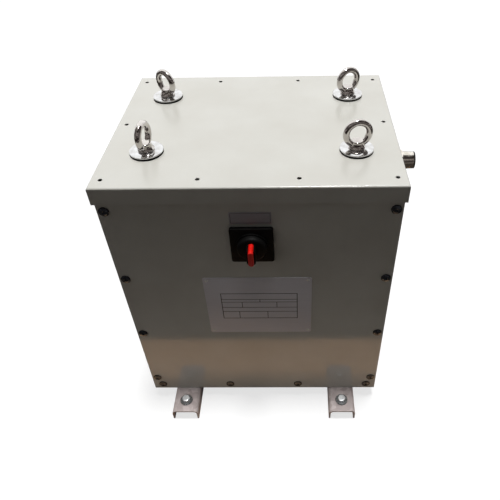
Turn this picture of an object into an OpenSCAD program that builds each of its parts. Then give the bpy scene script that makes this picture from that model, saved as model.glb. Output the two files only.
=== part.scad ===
// Floor-standing three-phase transformer in a sheet-steel box.
// Millimetres, +Z up. The front with the main switch looks along -Y, and z = 0 is the floor
// that the two rails stand on.

/* [Lid] */
// Width of the lid over its skirt
lid_w = 444; // [430:1:520]
// Depth of the lid over its skirt, front to back
lid_d = 356; // [340:1:420]
// Height of the lid's top face above the floor
lid_top = 515; // [510:1:600]
// Height of the lid's folded skirt
skirt_h = 28; // [22:1:32]
// Gap between the skirt and the walls inside it
skirt_gap = 2; // [1:0.5:4]
// Clearance hole for a lid screw
lid_hole_d = 6.5; // [5.5:0.1:8]
// Lid screw holes in from the left and right edges
lid_hole_inset_x = 14.7; // [12:0.1:18]
// Lid screw holes in from the front and back edges
lid_hole_inset_y = 21; // [16:0.5:25]
// Middle lid screw holes of the front and back edges, out from the centre
lid_hole_mid_x = 71; // [50:1:90]

/* [Sheet metal] */
// Sheet of the lid, the walls and the panels
sheet = 1.5; // [1:0.1:2]
// Sheet of the base tray and the top frame
heavy_sheet = 2; // [1.5:0.1:3]
// Inside radius of every fold in the enclosure
bend_in = 1; // [0.5:0.1:2]
// Height of the base tray's upturned flanges
base_flange_h = 28; // [24:1:32]
// Width of the side walls' inward flanges
side_flange_w = 25; // [20:1:30]
// Width of the top frame's flat ring
frame_w = 28; // [26:1:36]
// Height of the top frame's inner lip
frame_lip_h = 15; // [8:1:20]
// Thickness of the lid gasket
gasket_t = 3; // [2:0.5:5]
// Width of the lid gasket
gasket_w = 8; // [6:0.5:10]

/* [Panel screws] */
// Diameter of a panel screw's thread
screw_d = 6; // [5:0.5:6]
// Diameter of a panel screw's domed head
screw_head_d = 13.5; // [12:0.5:14]
// Height of a panel screw's domed head
screw_head_h = 3.4; // [2.8:0.1:4]
// Length of a panel screw below its head
screw_len = 14; // [12:1:20]
// Side columns of panel screws in from the walls' outer faces
column_inset = 10.6; // [9:0.1:12]
// Uppermost panel screw below the lid's top face
column_drop = 42.1; // [38:0.1:50]
// Lowest column screw above the base tray's flange
column_foot = 8.3; // [7.5:0.1:20]
// Bottom row of panel screws above the underside of the base tray
row_rise = 14; // [12:0.5:16]
// Outer screws of the bottom row, in from the walls' outer faces
row_inset = 17.6; // [17:0.1:30]
// Inner screws of the bottom row, out from the centre
row_mid_x = 67; // [50:1:90]

/* [Floor rails] */
// Height of a floor rail
rail_h = 25; // [23:0.5:35]
// Width of a floor rail
rail_w = 50; // [48:1:60]
// Wall of a floor rail
rail_t = 3; // [2:0.1:4]
// Outside radius of a floor rail's folds
rail_bend = 9; // [6:0.5:11]
// Centre of a floor rail, in from the lid's left or right edge
rail_inset = 70; // [62:1:74]
// Reach of a floor rail past the lid's front and back edges
rail_reach = 49.5; // [46:0.5:80]
// Fixing bolt in from a rail's end
rail_bolt_inset = 24.5; // [16:0.5:28]
// Thread of a fixing bolt
rail_bolt_d = 8; // [6:1:10]
// Length of a fixing bolt below its head
rail_bolt_len = 25; // [22:1:26]

/* [Lifting eyes] */
// Eyebolts in from the lid's left and right edges
eye_inset_x = 65.5; // [62:0.5:68]
// Eyebolts in from the lid's front and back edges, before they are set back with the core
eye_inset_y = 88; // [82:0.5:92]
// Outside diameter of an eyebolt's ring
ring_d = 45; // [40:1:54]
// Rod of an eyebolt's ring
ring_rod_d = 10; // [8:0.5:12]
// Diameter of an eyebolt's collar
collar_d = 25; // [20:1:30]
// Thread of an eyebolt
shank_d = 10; // [8:1:12]
// Length of an eyebolt's thread below its collar
shank_len = 17; // [14:1:24]
// Diameter of the steel disc under a collar
disc_d = 50.5; // [44:0.5:56]
// Thickness of the steel disc under a collar
disc_t = 2; // [1.5:0.5:4]
// Thickness of the rubber seal under a disc
seal_t = 3; // [2:0.5:4]
// How far each ring is turned: front left, front right, back left, back right
eye_turn = [80, 12, -40, 30];

/* [Main switch] */
// Centre of the switch below the lid's top face
switch_drop = 104.6; // [101:0.1:107]
// Side of the square front plate
plate_w = 65; // [60:1:67]
// Thickness of the square front plate
plate_t = 6; // [4:0.5:8]
// Diameter of the handle's round hub
hub_d = 44; // [36:1:48]
// Reach of the hub off the panel
hub_reach = 17; // [14:0.5:20]
// Reach of the handle's black sides off the panel
grip_reach = 33; // [28:0.5:36]
// Reach of the handle's red crest off the panel
crest_reach = 37; // [36.5:0.5:42]
// Width of the handle over its black sides
grip_w = 13.5; // [11:0.5:18]
// Width of the handle's red crest
crest_w = 9.5; // [6:0.5:10]
// Length of the handle
grip_len = 28; // [24:1:34]
// Depth of the switch behind the panel
switch_depth = 55; // [48:1:55]
// Side of the switch's square decks
deck_w = 46; // [42:1:47]

/* [Plates] */
// Width of the rating plate
rating_w = 176; // [140:1:190]
// Height of the rating plate
rating_h = 136; // [100:1:160]
// Centre of the rating plate below the lid's top face
rating_drop = 245.3; // [230:0.1:300]
// Centre of the rating plate right of the centre
rating_x = 2.8; // [0:0.1:10]
// Width of the label plate over the switch
label_w = 61.5; // [50:0.5:80]
// Height of the label plate over the switch
label_h = 21; // [14:0.5:22]
// Centre of the label plate below the lid's top face
label_drop = 55.7; // [54:0.1:56]

/* [Cable gland] */
// Centre of the gland below the lid's top face
gland_drop = 46; // [46:0.5:80]
// Centre of the gland in front of the box's centre
gland_front = 41.5; // [20:0.5:60]
// Reach of the gland off the right wall
gland_reach = 37; // [34:0.5:46]
// Thread of the gland
gland_thread_d = 25; // [20:0.5:25]
// Width across the flats of the gland's hexagons
gland_af = 29; // [27:0.5:29.5]
// Cable that the gland clamps
cable_d = 12; // [8:0.5:13]

/* [Transformer] */
// Core and lifting posts set back from the box's centre, behind the switch
core_back = 4.5; // [0:0.5:6]
// Gap between the outer bobbins' flanges and the side walls
coil_side_gap = 26; // [20:1:32]
// Gap between the flanges of neighbouring bobbins
coil_gap = 2; // [1:0.5:6]
// Gap between the bobbins' flanges and the lifting posts
post_gap = 5; // [3:0.5:8]
// Width of a core limb as a share of the width over a bobbin's flanges
limb_share = 0.508; // [0.48:0.004:0.54]
// Thickness of the rubber damper under a clamp foot
damper_t = 8; // [6:0.5:12]
// Wall of a bobbin's tube
bobbin_t = 3; // [2:0.5:4]
// Thickness of a bobbin's flanges
bobbin_flange_t = 4; // [3:0.5:6]
// Share of both windings' build that the inner winding takes
inner_share = 0.48; // [0.4:0.01:0.56]
// Air duct between the windings
duct = 3; // [2:0.5:4]
// Thickness of the core clamps
clamp_t = 4; // [3:0.5:5]
// Core clamps' flat flanges past the lifting posts, away from the core
clamp_edge = 6; // [4:0.5:10]
// Core clamps past the lifting posts at each end
clamp_end = 23; // [20:1:26]
// Diameter of a lifting post
post_d = 18; // [16:0.5:20]
// Thread at the foot of a lifting post
post_stud_d = 12; // [10:1:14]
// Thread of a core clamp bolt
clamp_bolt_d = 8; // [6:1:10]

/* [Terminals and leads] */
// Width of one terminal
terminal_w = 8; // [6:0.5:8.5]
// Depth of one terminal, front to back
terminal_d = 40; // [36:1:42]
// Height of one terminal
terminal_h = 30; // [28:1:36]
// Diameter of a lead over its insulation
lead_d = 5; // [3:0.5:5.5]
// Bend radius of a lead
lead_bend = 7; // [6:0.5:8]
// Gap between the leads and the clamps that they pass
lead_clear = 4; // [2:0.5:8]
// Straight drop of a lead under the switch
lead_drop = 2.4; // [2:0.2:20]

/* [Hidden] */
$fn = 48;
// Overrun of every cut
cut = 1;
// Gap between pieces that move apart
fit = 0.3;
// Gap round a thread in its nut or tapped hole
thread_gap = 0.1;
// Gap round a bolt in its clearance hole, and round a lead in its entry
hole_gap = 0.5;
// Gap between flat pieces set side by side
side_gap = 0.5;

bend_out = bend_in + sheet;
body_w = lid_w - 2 * (sheet + skirt_gap);
body_d = lid_d - 2 * (sheet + skirt_gap);
inner_w = body_w - 2 * sheet;
inner_d = body_d - 2 * sheet;
body_z = rail_h;
floor_z = body_z + heavy_sheet;
lid_under = lid_top - sheet;
gasket_z = lid_under - gasket_t;
frame_top = gasket_z - fit;
frame_z = frame_top - heavy_sheet;
wall_h = frame_top - body_z;
panel_face = -body_d / 2;
panel_back = panel_face + sheet;

lid_hole_x = lid_w / 2 - lid_hole_inset_x;
lid_hole_y = lid_d / 2 - lid_hole_inset_y;
lid_holes = [
    for (sy = [-1, 1], x = [-lid_hole_x, -lid_hole_mid_x, lid_hole_mid_x, lid_hole_x]) [x, sy * lid_hole_y],
    for (sx = [-1, 1]) [sx * lid_hole_x, 0]
];
gasket_out = heavy_sheet;

column_rows = 4;
column_x = body_w / 2 - column_inset;
column_top = lid_top - column_drop;
column_low = body_z + base_flange_h + column_foot;
column_pitch = (column_top - column_low) / (column_rows - 1);
column_places = [
    for (sx = [-1, 1], i = [0:column_rows - 1]) [sx * column_x, column_low + i * column_pitch]
];
row_x = body_w / 2 - row_inset;
row_places = [for (x = [-row_x, -row_mid_x, row_mid_x, row_x]) [x, body_z + row_rise]];
panel_screw_places = concat(column_places, row_places);
nut_af = 10;
nut_h = 5;
socket_af = 4;
socket_deep = 2;

rail_x = lid_w / 2 - rail_inset;
rail_len = lid_d + 2 * rail_reach;
rail_bolt_y = rail_len / 2 - rail_bolt_inset;
rail_bolt_places = [for (sx = [-1, 1], sy = [-1, 1]) [sx * rail_x, sy * rail_bolt_y]];
rail_washer_d = 24;
rail_washer_t = 2;
rail_head_af = 13;
rail_head_h = 6.5;
rail_nut_h = 6.5;

eye_x = lid_w / 2 - eye_inset_x;
eye_y = lid_d / 2 - eye_inset_y;
eye_signs = [[-1, -1], [1, -1], [-1, 1], [1, 1]];
eye_places = [for (s = eye_signs) [s[0] * eye_x, core_back + s[1] * eye_y]];
disc_z = lid_top + seal_t;
eye_z = disc_z + disc_t + fit;
collar_rim = 3;
saddle_d = 16;
saddle_rise = 0.6;
shank_hole_d = shank_d + 2 * fit;
lid_eye_hole_d = shank_d + 2 * hole_gap;
edge = 0.5;

switch_z = lid_top - switch_drop;
plate_corner = 4;
plate_bevel = 2;
ring_w = 2;
ring_t = 2;
spigot_d = 22;
hub_edge = 3;
crest_round = 5;
crest_sink = 8;
shaft_d = 6;
shaft_in_grip = 6;
deck_count = 3;
deck_groove = 1.5;
deck_inset = 2;
mount_block_w = 52;
mount_block_t = 7;
deck_t = (switch_depth - mount_block_t) / deck_count;
contact_d = 6;
contact_h = 1.5;
contact_x = 13;

plate_sheet = 0.8;
rating_corner = 4;
label_corner = 1;
rivet_d = 3;
rivet_head_d = 5.5;
rivet_head_h = 1;
rivet_inset = 6;

gland_z = lid_top - gland_drop;
wall_x = body_w / 2;
gland_washer_t = 1.5;
gland_washer_d = gland_af + 2;
gland_hex_h = 8;
gland_neck_d = gland_thread_d - 2;
gland_inside = 12;
gland_lip_d = gland_af - 2;
gland_lip_t = 3.5;
gland_nut_end_d = gland_af - 2.5;
gland_nut_gap = 1;
gland_nut_hex_h = 10;
insert_wall = 1.5;
insert_len = 24;
locknut_t = 4;

din_w = 35;
din_h = 7.5;
din_hat_w = 27;
din_t = 1;
din_end = 6;
entry_low = 8;
entry_high = 17;
entry_deep = 7;
wire_top = switch_z - deck_w / 2 - contact_h;
terminal_z = wire_top - lead_drop - lead_bend - entry_high;
core_top = terminal_z - din_h;

foot_z = floor_z + damper_t;
core_gap = 1;
bobbin_edge = 1;
flange_w = (inner_w - 2 * coil_side_gap - 2 * coil_gap) / 3;
limb_pitch = flange_w + coil_gap;
limb_places = [for (i = [-1:1]) i * limb_pitch];
limb_w = limb_share * flange_w;
window_w = limb_pitch - limb_w;
core_w = 3 * limb_w + 2 * window_w;
core_h = core_top - foot_z;
window_h = core_h - 2 * limb_w;
window_z = foot_z + limb_w;
coil_w = limb_w + 2 * core_gap;
outer_out = (flange_w - coil_w) / 2 - bobbin_edge;
inner_out = bobbin_t + inner_share * (outer_out - bobbin_t - duct);
outer_in = inner_out + duct;
coil_d = 2 * (eye_y - post_d / 2 - post_gap - bobbin_edge - outer_out);
stack_d = coil_d - 2 * core_gap;
coil_corner = 2;
coil_h = window_h - 2 * bobbin_flange_t;
coil_z = window_z + bobbin_flange_t;
clamp_y = stack_d / 2;
clamp_flange_w = eye_y + post_d / 2 + clamp_edge - clamp_y;
clamp_len = 2 * (eye_x + clamp_end);
clamp_bend = 2 * clamp_t;
clamp_head_af = 13;
clamp_head_h = 5.5;
tube_t = 1.2;
post_top = lid_under - fit;
post_tap = 20;
post_washer_d = 22;
post_washer_t = 2.5;
post_nut_af = 18;
post_nut_h = 9;
post_stud_end = 2;
damper_w = 44;
damper_d = 40;
post_hole_d = post_stud_d + 2 * hole_gap;

terminal_y = -(clamp_y + clamp_flange_w / 2 + clamp_t / 2);
terminal_count = 4;
terminal_gap = 0.2;
end_stop_w = 5;
group_end = terminal_count * (terminal_w + terminal_gap) / 2 + end_stop_w + din_end;
group_pitch = eye_x - post_d / 2 - 2 * hole_gap - group_end;
group_places = [for (i = [-1:1]) i * group_pitch];
lead_y = -(clamp_y + clamp_flange_w + lead_clear + lead_d / 2);
coil_face = -(coil_d / 2 + outer_out);
terminal_face = terminal_y - terminal_d / 2;
lead_in = entry_deep - hole_gap;
lead_rise_from = coil_z + coil_h - 2 * lead_d;
// Side of the switch that the lead of each deck leaves from
wire_sides = [-1, -1, 1];
stud_base_x = inner_w / 2 - base_flange_h;
stud_base_y = inner_d / 2 - base_flange_h;
earth_d = 6;
earth_len = 22;
earth_nut_z = 8;

// Flat sheet seen on edge: flat top at y = 0, legs down to y = -h, round top corners.
module arch(w, h, r) {
    translate([-w / 2, -h]) square([w, h - r]);
    translate([-w / 2 + r, -h]) square([w - 2 * r, h]);
    for (s = [-1, 1]) translate([s * (w / 2 - r), -r]) circle(r);
}

// Folded channel seen on edge, open side down.
module channel(w, h, t, r) {
    difference() {
        arch(w, h, r);
        translate([0, -t]) arch(w - 2 * t, h, r - t);
    }
}

// Folded angle seen on edge: flat flange at the top running to +x, leg down at x = 0.
module angle_iron(w, h, t, r) {
    intersection() {
        translate([w, 0]) channel(2 * w, h, t, r);
        translate([-cut, -h - cut]) square([w + cut, h + 2 * cut]);
    }
}

// Solid block with round top edges that meet in mitres, top face at z = 0.
module mitred_block(w, d, h, r) {
    intersection() {
        rotate([90, 0, 0]) linear_extrude(d, center = true) arch(w, h, r);
        rotate([90, 0, 90]) linear_extrude(w, center = true) arch(d, h, r);
    }
}

// Sheet folded down on all four sides, with welded corners.
module folded_tray(w, d, h, t) {
    difference() {
        mitred_block(w, d, h, bend_in + t);
        translate([0, 0, -t]) mitred_block(w - 2 * t, d - 2 * t, h, bend_in);
    }
}

// Opening whose edge flares out at the top, as where a sheet folds down round it.
module flare(w, h, r) {
    translate([-w / 2, -h]) square([w, h + cut]);
    difference() {
        translate([-w / 2 - r, -r]) square([w + 2 * r, r + cut]);
        for (s = [-1, 1]) translate([s * (w / 2 + r), -r]) circle(r);
    }
}

module rounded(w, d, r) {
    square([w - 2 * r, d], center = true);
    square([w, d - 2 * r], center = true);
    for (sx = [-1, 1], sy = [-1, 1]) translate([sx * (w / 2 - r), sy * (d / 2 - r)]) circle(r);
}

// Drills along +z from z = 0, with the overrun at both ends.
module drill(d, h) {
    translate([0, 0, -cut]) cylinder(d = d, h = h + 2 * cut);
}

module hexagon(af, h) {
    cylinder(d = af / cos(30), h = h, $fn = 6);
}

module nut(af, h, d) {
    difference() {
        hexagon(af, h);
        drill(d + 2 * thread_gap, h);
    }
}

module washer(od, id, t) {
    difference() {
        cylinder(d = od, h = t);
        drill(id, t);
    }
}

// Faces -Y: what stands along +z here sticks out of the front.
module to_front() {
    rotate([90, 0, 0]) children();
}

// Places what is drawn for the front panel on the rear panel.
module to_rear() {
    rotate([0, 0, 180]) children();
}

// Sets back what is drawn round the middle of the core.
module at_core() {
    translate([0, core_back, 0]) children();
}

module at_eyes() {
    for (p = eye_places) translate([p[0], p[1], 0]) children();
}

// The lid assembly

module lid() color([0.82, 0.81, 0.78]) {
    difference() {
        translate([0, 0, lid_top]) folded_tray(lid_w, lid_d, skirt_h, sheet);
        for (p = lid_holes) translate([p[0], p[1], lid_under]) drill(lid_hole_d, sheet);
        at_eyes() translate([0, 0, lid_under]) drill(lid_eye_hole_d, sheet);
    }
}

module lid_gasket() color([0.15, 0.15, 0.15]) {
    w = inner_w - 2 * gasket_out;
    d = inner_d - 2 * gasket_out;
    difference() {
        translate([0, 0, gasket_z]) linear_extrude(gasket_t) difference() {
            square([w, d], center = true);
            square([w - 2 * gasket_w, d - 2 * gasket_w], center = true);
        }
        for (p = lid_holes) translate([p[0], p[1], gasket_z]) drill(lid_hole_d, gasket_t);
    }
}

module eye_seals() color([0.07, 0.07, 0.07]) {
    at_eyes() translate([0, 0, lid_top]) washer(disc_d, shank_hole_d, seal_t);
}

module eye_discs() color([0.75, 0.76, 0.78]) {
    at_eyes() translate([0, 0, disc_z]) rotate_extrude() polygon([
        [shank_hole_d / 2, 0], [disc_d / 2 - edge, 0], [disc_d / 2, edge],
        [disc_d / 2, disc_t - edge], [disc_d / 2 - edge, disc_t], [shank_hole_d / 2, disc_t]
    ]);
}

// Forged lifting eye: a ring that runs down through a flared saddle into a round collar.
module eyebolt(i) color([0.72, 0.73, 0.75]) {
    flare_r = (collar_d - saddle_d) / 2;
    flare_h = ring_rod_d - collar_rim;
    translate([eye_places[i][0], eye_places[i][1], eye_z]) rotate([0, 0, eye_turn[i]]) {
        translate([0, 0, ring_d / 2]) rotate([90, 0, 0])
            rotate_extrude() translate([(ring_d - ring_rod_d) / 2, 0]) circle(d = ring_rod_d);
        rotate_extrude() polygon(concat(
            [[0, 0], [collar_d / 2 - edge, 0], [collar_d / 2, edge]],
            [for (a = [0:15:90]) [collar_d / 2 - flare_r * sin(a), ring_rod_d - flare_h * cos(a)]],
            [[0, ring_rod_d + saddle_rise]]
        ));
        translate([0, 0, edge - shank_len]) cylinder(d = shank_d, h = shank_len);
        translate([0, 0, -shank_len]) cylinder(d1 = shank_d - 2 * edge, d2 = shank_d, h = edge);
    }
}

module eyebolt_front_left() eyebolt(0);
module eyebolt_front_right() eyebolt(1);
module eyebolt_back_left() eyebolt(2);
module eyebolt_back_right() eyebolt(3);

// The box

module base_tray() color([0.8, 0.79, 0.76]) {
    difference() {
        translate([0, 0, body_z]) mirror([0, 0, 1])
            folded_tray(inner_w, inner_d, base_flange_h, heavy_sheet);
        at_eyes() translate([0, 0, body_z]) drill(post_hole_d, heavy_sheet);
        for (p = row_places) translate([p[0], 0, p[1]])
            to_front() translate([0, 0, -body_d / 2]) drill(screw_d + 2 * hole_gap, body_d);
        translate([stud_base_x, -stud_base_y, body_z]) drill(earth_d, heavy_sheet);
    }
}

// Right-hand wall: a plain skirt beside the base tray, then a channel up to the top frame.
module side_wall() {
    flange_z = body_z + base_flange_h + side_gap;
    difference() {
        union() {
            translate([wall_x, 0, flange_z]) rotate([0, 0, -90])
                linear_extrude(frame_z - flange_z) channel(inner_d, side_flange_w, sheet, bend_out);
            translate([wall_x - sheet, -inner_d / 2 + bend_out, body_z])
                cube([sheet, inner_d - 2 * bend_out, wall_h]);
            translate([wall_x - sheet, -inner_d / 2, body_z])
                cube([sheet, inner_d, base_flange_h]);
            translate([wall_x - sheet, -inner_d / 2, frame_z])
                cube([sheet, inner_d, heavy_sheet]);
        }
        for (p = column_places, s = [-1, 1]) if (p[0] > 0) translate([p[0], s * inner_d / 2, p[1]])
            to_front() translate([0, 0, -sheet]) drill(screw_d + 2 * hole_gap, 2 * sheet);
    }
}

module side_wall_left() color([0.8, 0.79, 0.76]) mirror([1, 0, 0]) side_wall();

module side_wall_right() color([0.8, 0.79, 0.76]) difference() {
    side_wall();
    translate([wall_x - sheet, -gland_front, gland_z]) rotate([0, 90, 0])
        drill(gland_thread_d + 2 * thread_gap, sheet);
}

module panel() {
    difference() {
        translate([-body_w / 2, panel_face, body_z]) cube([body_w, sheet, wall_h]);
        for (p = panel_screw_places) translate([p[0], panel_back, p[1]])
            to_front() drill(screw_d + 2 * hole_gap, sheet);
    }
}

module rivet_spots() {
    for (sx = [-1, 1], sz = [-1, 1]) translate([
        rating_x + sx * (rating_w / 2 - rivet_inset), 0,
        lid_top - rating_drop + sz * (rating_h / 2 - rivet_inset)
    ]) children();
}

module front_panel() color([0.8, 0.79, 0.76]) difference() {
    panel();
    translate([0, panel_back, switch_z]) to_front() drill(spigot_d, sheet);
    rivet_spots() translate([0, panel_back, 0]) to_front() drill(rivet_d, sheet);
}

module rear_panel() color([0.8, 0.79, 0.76]) to_rear() panel();

module top_frame() color([0.8, 0.79, 0.76]) {
    w = inner_w - 2 * frame_w;
    d = inner_d - 2 * frame_w;
    lip_bend = bend_in + heavy_sheet / 2;
    difference() {
        union() {
            translate([-inner_w / 2, -inner_d / 2, frame_z]) cube([inner_w, inner_d, heavy_sheet]);
            translate([-w / 2 - heavy_sheet, -d / 2 - heavy_sheet, frame_top - frame_lip_h])
                cube([w + 2 * heavy_sheet, d + 2 * heavy_sheet, frame_lip_h - heavy_sheet / 2]);
        }
        translate([0, 0, frame_top]) intersection() {
            rotate([90, 0, 0]) linear_extrude(2 * d, center = true)
                flare(w, frame_lip_h + cut, lip_bend);
            rotate([90, 0, 90]) linear_extrude(2 * w, center = true)
                flare(d, frame_lip_h + cut, lip_bend);
        }
        for (p = lid_holes) translate([p[0], p[1], frame_z]) drill(screw_d + 2 * hole_gap, heavy_sheet);
    }
}

module lid_nuts() color([0.7, 0.7, 0.72]) {
    for (p = lid_holes) translate([p[0], p[1], frame_z - nut_h]) nut(nut_af, nut_h, screw_d);
}

// Domed socket-head screw, head outward along +z from z = 0.
module domed_screw() {
    dome_r = (screw_head_h * screw_head_h + screw_head_d * screw_head_d / 4) / (2 * screw_head_h);
    difference() {
        intersection() {
            translate([0, 0, screw_head_h - dome_r]) sphere(dome_r);
            cylinder(d = screw_head_d, h = screw_head_h);
        }
        translate([0, 0, screw_head_h - socket_deep]) hexagon(socket_af, socket_deep + cut);
    }
    translate([0, 0, -screw_len]) cylinder(d = screw_d, h = screw_len);
}

module panel_screws() color([0.7, 0.7, 0.7]) {
    for (p = panel_screw_places) translate([p[0], panel_face, p[1]]) to_front() domed_screw();
}

module front_panel_screws() panel_screws();
module rear_panel_screws() to_rear() panel_screws();

module panel_nuts() color([0.7, 0.7, 0.72]) {
    for (side = [0, 1]) rotate([0, 0, side * 180]) {
        for (p = column_places) translate([p[0], panel_back + sheet + nut_h, p[1]])
            to_front() nut(nut_af, nut_h, screw_d);
        for (p = row_places) translate([p[0], panel_back + heavy_sheet + nut_h, p[1]])
            to_front() nut(nut_af, nut_h, screw_d);
    }
}

// Floor rails and their bolts

module rail(side) color([0.66, 0.62, 0.61]) difference() {
    translate([side * rail_x, rail_len / 2, rail_h]) rotate([90, 0, 0])
        linear_extrude(rail_len) channel(rail_w, rail_h, rail_t, rail_bend);
    for (p = rail_bolt_places) if (p[0] * side > 0)
        translate([p[0], p[1], rail_h - rail_t]) drill(rail_bolt_d + 2 * hole_gap, rail_t);
    for (p = eye_places) if (p[0] * side > 0)
        translate([p[0], p[1], rail_h - rail_t]) drill(post_hole_d, rail_t);
}

module rail_left() rail(-1);
module rail_right() rail(1);

module at_rail_bolts() {
    for (p = rail_bolt_places) translate([p[0], p[1], 0]) children();
}

module rail_washers() color([0.75, 0.75, 0.76]) {
    at_rail_bolts() translate([0, 0, rail_h]) washer(rail_washer_d, rail_bolt_d, rail_washer_t);
}

module rail_bolts() color([0.75, 0.75, 0.76]) at_rail_bolts() {
    head_z = rail_h + rail_washer_t;
    translate([0, 0, head_z]) intersection() {
        hexagon(rail_head_af, rail_head_h);
        cylinder(d1 = 2 * rail_head_af, d2 = rail_head_af, h = rail_head_h);
    }
    translate([0, 0, head_z - rail_bolt_len]) cylinder(d = rail_bolt_d, h = rail_bolt_len);
}

module rail_nuts() color([0.75, 0.75, 0.76]) {
    at_rail_bolts() translate([0, 0, rail_h - rail_t - rail_nut_h])
        nut(rail_head_af, rail_nut_h, rail_bolt_d);
}

// Main switch, drawn with its axis along +z and its face away from the panel

module at_switch(y) {
    translate([0, y, switch_z]) to_front() children();
}

module switch_plate() color([0.07, 0.07, 0.07]) at_switch(panel_face) difference() {
    union() {
        hull() {
            linear_extrude(plate_t - plate_bevel) rounded(plate_w, plate_w, plate_corner);
            linear_extrude(plate_t)
                rounded(plate_w - 2 * plate_bevel, plate_w - 2 * plate_bevel, plate_corner, $fn = 32);
        }
        cylinder(d = hub_d + 2 * (fit + ring_w), h = plate_t + ring_t);
        translate([0, 0, -sheet]) cylinder(d = spigot_d, h = sheet + plate_t / 2);
    }
    translate([0, 0, plate_t]) cylinder(d = hub_d + 2 * fit, h = ring_t + cut);
    translate([0, 0, -sheet]) drill(shaft_d + 2 * fit, plate_t + sheet);
}

// Black handle: a round hub that tapers in, then a straight bar with a slot for the crest.
module switch_handle() color([0.07, 0.07, 0.07]) at_switch(panel_face) {
    base = plate_t + fit;
    slot = hub_reach - crest_sink / 2;
    difference() {
        union() {
            translate([0, 0, base]) cylinder(d = hub_d, h = hub_reach - hub_edge - base);
            translate([0, 0, hub_reach - hub_edge])
                cylinder(d1 = hub_d, d2 = hub_d - 2 * hub_edge, h = hub_edge);
            translate([0, 0, base])
                linear_extrude(grip_reach - base) rounded(grip_w, grip_len, grip_w / 3);
        }
        translate([0, 0, slot]) linear_extrude(grip_reach) square([crest_w, hub_d], center = true);
        translate([0, 0, base]) drill(shaft_d, shaft_in_grip - cut);
    }
}

// Red crest: fills the handle's slot and stands proud of it with round corners.
module switch_crest() color([0.85, 0.08, 0.05]) at_switch(panel_face) {
    slot = hub_reach - crest_sink / 2;
    h = crest_reach - slot;
    intersection() {
        translate([0, 0, slot]) linear_extrude(h) rounded(crest_w, grip_len, crest_w * 0.45);
        translate([0, 0, crest_reach]) rotate([90, 0, 90])
            linear_extrude(crest_w, center = true) arch(grip_len, h, crest_round);
    }
}

module switch_shaft() color([0.7, 0.7, 0.72]) at_switch(panel_back) {
    deep = mount_block_t + (deck_count - 1 / 2) * deck_t;
    translate([0, 0, -deep])
        cylinder(d = shaft_d, h = deep + sheet + plate_t + fit + shaft_in_grip);
}

module switch_body() color([0.2, 0.2, 0.22]) at_switch(panel_back) mirror([0, 0, 1]) {
    difference() {
        union() {
            linear_extrude(mount_block_t) rounded(mount_block_w, mount_block_w, plate_corner);
            for (i = [0:deck_count - 1]) translate([0, 0, mount_block_t + i * deck_t]) {
                linear_extrude(deck_t - deck_groove) square(deck_w, center = true);
                linear_extrude(deck_t) square(deck_w - 2 * deck_inset, center = true);
            }
        }
        drill(shaft_d + 2 * fit, mount_block_t + deck_count * deck_t - deck_inset - cut);
    }
}

// Clamp screws on the tops and undersides of the decks.
module switch_contacts() color([0.75, 0.72, 0.6]) at_switch(panel_back) mirror([0, 0, 1]) {
    for (i = [0:deck_count - 1], sx = [-1, 1], sy = [-1, 1])
        translate([sx * contact_x, sy * deck_w / 2, mount_block_t + (i + 1 / 2) * deck_t])
            rotate([-sy * 90, 0, 0]) cylinder(d = contact_d, h = contact_h);
}

// Plates on the front panel, left bare

module label_plate() color([0.7, 0.7, 0.7]) translate([0, panel_face, lid_top - label_drop])
    to_front() linear_extrude(plate_sheet) rounded(label_w, label_h, label_corner);

module rating_plate() color([0.72, 0.74, 0.78]) difference() {
    translate([rating_x, panel_face, lid_top - rating_drop])
        to_front() linear_extrude(plate_sheet) rounded(rating_w, rating_h, rating_corner);
    rivet_spots() translate([0, panel_face, 0]) to_front() drill(rivet_d, plate_sheet);
}

module plate_rivets() color([0.6, 0.6, 0.62]) {
    head_r = (rivet_head_h * rivet_head_h + rivet_head_d * rivet_head_d / 4) / (2 * rivet_head_h);
    rivet_spots() translate([0, panel_face, 0]) to_front() {
        translate([0, 0, plate_sheet]) intersection() {
            translate([0, 0, rivet_head_h - head_r]) sphere(head_r);
            cylinder(d = rivet_head_d, h = rivet_head_h);
        }
        translate([0, 0, -sheet]) cylinder(d = rivet_d, h = sheet + plate_sheet);
    }
}

// Cable gland, drawn with its axis along +z from the right wall's outer face

module at_gland() {
    translate([wall_x, -gland_front, gland_z]) rotate([0, 90, 0]) children();
}

module gland_washer() color([0.1, 0.1, 0.1]) at_gland()
    washer(gland_washer_d, gland_thread_d, gland_washer_t);

module gland_body() color([0.62, 0.58, 0.48]) at_gland() difference() {
    hex_z = gland_washer_t;
    neck_end = gland_reach - gland_lip_t - gland_nut_gap;
    union() {
        translate([0, 0, -gland_inside]) cylinder(d = gland_thread_d, h = gland_inside + hex_z);
        translate([0, 0, hex_z]) hexagon(gland_af, gland_hex_h);
        cylinder(d = gland_neck_d, h = neck_end);
    }
    translate([0, 0, -gland_inside]) drill(cable_d + 2 * insert_wall, gland_inside + gland_reach);
}

// Rubber sleeve round the cable, with a lip that covers the nut's mouth.
module gland_insert() color([0.06, 0.06, 0.06]) at_gland() difference() {
    union() {
        translate([0, 0, gland_reach - insert_len])
            cylinder(d = cable_d + 2 * insert_wall, h = insert_len);
        translate([0, 0, gland_reach - gland_lip_t]) cylinder(d = gland_lip_d, h = gland_lip_t);
    }
    translate([0, 0, gland_reach - insert_len]) drill(cable_d, insert_len);
}

module gland_nut() color([0.66, 0.62, 0.52]) at_gland() difference() {
    z = gland_washer_t + gland_hex_h + gland_nut_gap;
    end = gland_reach - gland_lip_t;
    union() {
        translate([0, 0, z]) hexagon(gland_af, gland_nut_hex_h);
        translate([0, 0, z]) cylinder(d1 = gland_af, d2 = gland_nut_end_d, h = end - z);
    }
    translate([0, 0, z]) drill(gland_neck_d, end - z - gland_nut_gap - cut);
    translate([0, 0, z]) drill(cable_d + 2 * insert_wall, end - z);
}

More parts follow.
